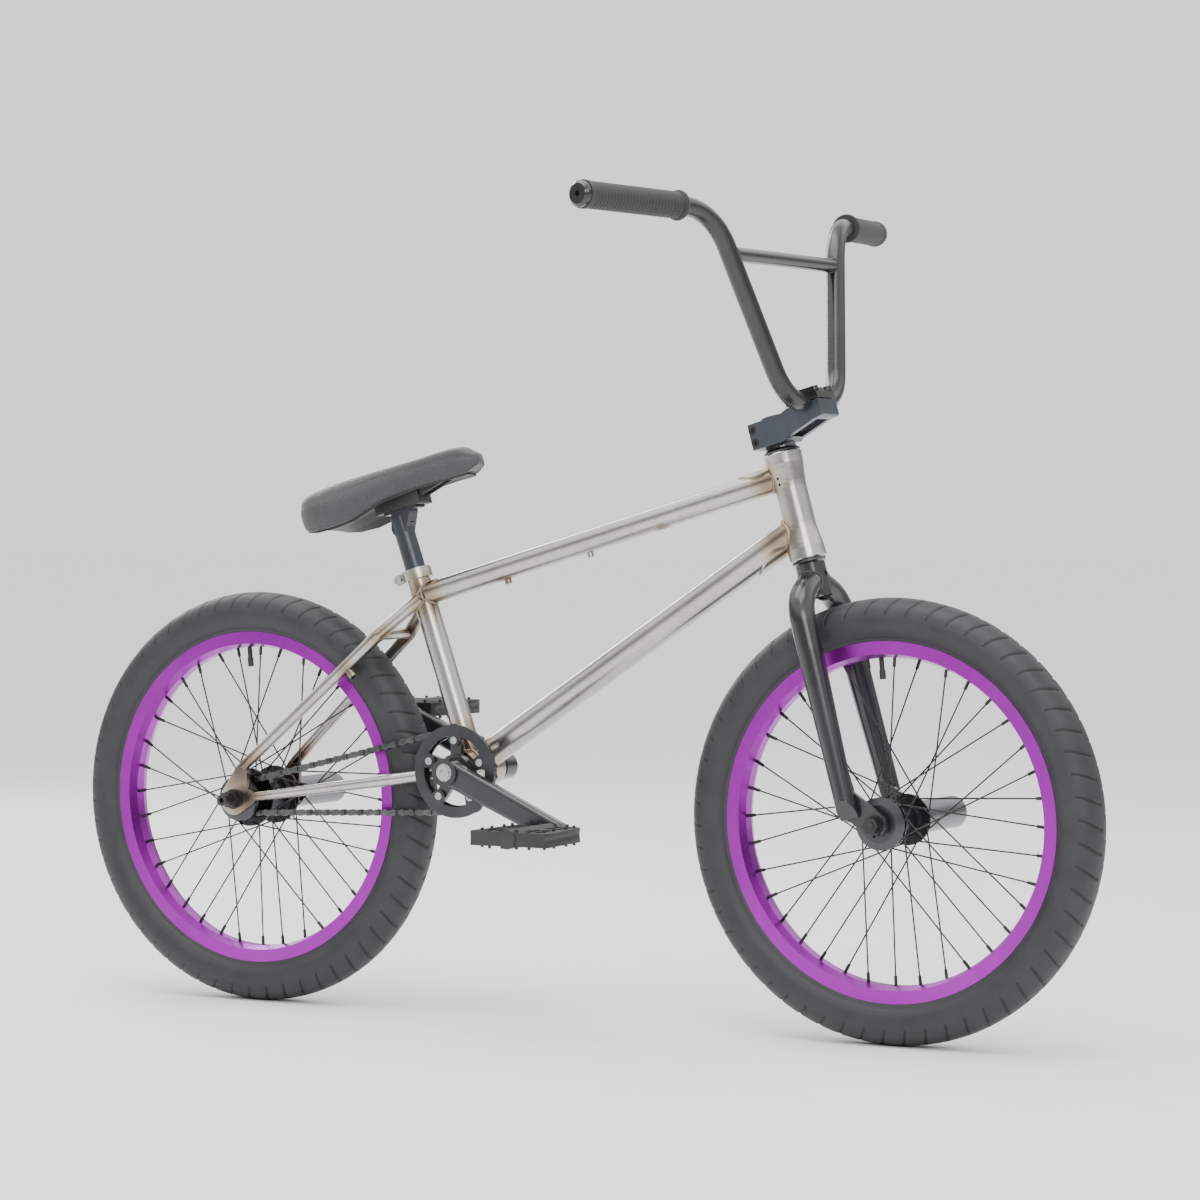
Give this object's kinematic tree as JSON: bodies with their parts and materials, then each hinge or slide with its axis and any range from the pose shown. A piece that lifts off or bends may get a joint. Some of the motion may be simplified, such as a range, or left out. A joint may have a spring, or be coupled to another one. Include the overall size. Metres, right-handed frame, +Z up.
{
  "type": "freestyle bmx bike",
  "caption": "Small-wheel freestyle BMX bike: steel frame, high bars, turning fork and wheels, chain drive with guards, platform pedals, padded saddle and left-side grind pegs.",
  "frame": {"origin": "on the ground, midway between the two wheel axles and in the bike's middle plane", "axes": "+X points forwards, +Y to the rider's left, +Z up; the drive side is at -Y"},
  "size_m": [1.4052, 0.758, 0.9817],
  "materials": {
    "raw_steel": "bare brushed steel under clear coat, heat-tinted at the welds",
    "bright_bolt": "plain bright steel",
    "bearing_steel": "polished bearing steel",
    "black_steel": "black oxide steel",
    "guard_grey": "satin dark grey",
    "peg_graphite": "graphite, brushed",
    "chain_inner_steel": "dark steel",
    "chain_outer_steel": "dark steel with bright pin ends",
    "post_satin": "satin blue-grey black",
    "saddle_plastic": "fine textured moulded plastic",
    "saddle_leather": "dark grey grained cover over foam",
    "fork_black": "satin black coat",
    "gloss_black": "gloss black anodised",
    "stem_satin": "satin blue-grey anodised",
    "bar_black": "satin black coat",
    "grip_rubber": "ribbed soft rubber",
    "plug_plastic": "gloss black",
    "tyre_rubber": "charcoal tread and side wall",
    "rim_purple": "purple anodised",
    "spoke_black": "black",
    "hub_black": "black anodised",
    "valve_rubber": "black rubber",
    "crank_black": "satin black coat",
    "pedal_plastic": "matt moulded plastic"
  },
  "bodies": {
    "frame": {"head_tube": "raw_steel", "top_tube": "raw_steel", "down_tube": "raw_steel", "seat_tube": "raw_steel", "bb_shell": "raw_steel", "chain_stays": "raw_steel", "seat_stays": "raw_steel", "stay_bridges": "raw_steel", "rear_dropouts": "raw_steel", "head_gussets": "raw_steel", "brake_and_cable_bosses": "raw_steel", "seat_clamp": "raw_steel", "seat_clamp_bolt": "bright_bolt", "frame_bearings": "bearing_steel", "rear_axle": "black_steel", "rear_axle_nuts": "black_steel", "rear_hub_guard": "guard_grey", "rear_peg": "peg_graphite", "chain_inner_links": "chain_inner_steel", "chain_outer_links": "chain_outer_steel"},
    "seat_post": {"seat_post": "post_satin"},
    "saddle": {"saddle_base": "saddle_plastic", "saddle_pad": "saddle_leather", "saddle_bolt": "black_steel"},
    "steering": {"fork_steerer": "fork_black", "fork_legs": "fork_black", "fork_dropouts": "fork_black", "headset_cap": "gloss_black", "stem_body": "stem_satin", "stem_cap": "gloss_black", "stem_bolts": "black_steel", "handlebar": "bar_black", "handlebar_crossbar": "bar_black", "grips": "grip_rubber", "bar_end_plugs": "plug_plastic", "front_axle": "black_steel", "front_axle_nuts": "black_steel", "front_hub_guard": "guard_grey", "front_peg": "peg_graphite"},
    "front_wheel": {"front_tyre": "tyre_rubber", "front_rim": "rim_purple", "front_spokes": "spoke_black", "front_hub": "hub_black", "front_hub_bearings": "bearing_steel", "front_valve": "valve_rubber"},
    "rear_wheel": {"rear_tyre": "tyre_rubber", "rear_rim": "rim_purple", "rear_spokes": "spoke_black", "rear_hub": "hub_black", "rear_hub_bearings": "bearing_steel", "rear_valve": "valve_rubber"},
    "driver": {"driver_cog": "black_steel"},
    "crank": {"crank_spindle": "bearing_steel", "crank_arms": "crank_black", "sprocket": "crank_black", "sprocket_guard": "guard_grey", "crank_bolts": "bright_bolt", "pedal_axles": "black_steel"},
    "pedal_right": {"pedal_right": "pedal_plastic"},
    "pedal_left": {"pedal_left": "pedal_plastic"}
  },
  "joints": [
    {"name": "steering", "type": "hinge", "parent": "frame", "child": "steering", "pos_m": [0.29994, 0, 0.6854], "axis": [-0.2649, 0, 0.9643], "continuous": true},
    {"name": "front_wheel_spin", "type": "hinge", "parent": "steering", "child": "front_wheel", "pos_m": [0.44375, 0, 0.2589], "axis": [0, 1, 0], "continuous": true},
    {"name": "rear_wheel_spin", "type": "hinge", "parent": "frame", "child": "rear_wheel", "pos_m": [-0.44375, 0, 0.2589], "axis": [0, 1, 0], "continuous": true},
    {"name": "crank_spin", "type": "hinge", "parent": "frame", "child": "crank", "pos_m": [-0.12451, 0, 0.3025], "axis": [0, 1, 0], "continuous": true, "deforming": ["chain_inner_links", "chain_outer_links"]},
    {"name": "driver_spin", "type": "hinge", "parent": "frame", "child": "driver", "pos_m": [-0.44375, -0.04, 0.2589], "axis": [0, 1, 0], "continuous": true},
    {"name": "right_pedal_spin", "type": "hinge", "parent": "crank", "child": "pedal_right", "pos_m": [0.02623, -0.1255, 0.23539], "axis": [0, 1, 0], "continuous": true},
    {"name": "left_pedal_spin", "type": "hinge", "parent": "crank", "child": "pedal_left", "pos_m": [-0.27524, 0.1255, 0.36961], "axis": [0, 1, 0], "continuous": true},
    {"name": "seat_post_slide", "type": "slide", "parent": "frame", "child": "seat_post", "axis": [-0.3272, 0, 0.9449], "range_m": [-0.02, 0.035]},
    {"name": "saddle_tilt", "type": "hinge", "parent": "seat_post", "child": "saddle", "pos_m": [-0.22476, 0, 0.618], "axis": [0, 1, 0], "range_deg": [-12, 12]}
  ],
  "couplings": [
    {"joint": "driver_spin", "follows": "crank_spin", "ratio": 2.7778}
  ]
}
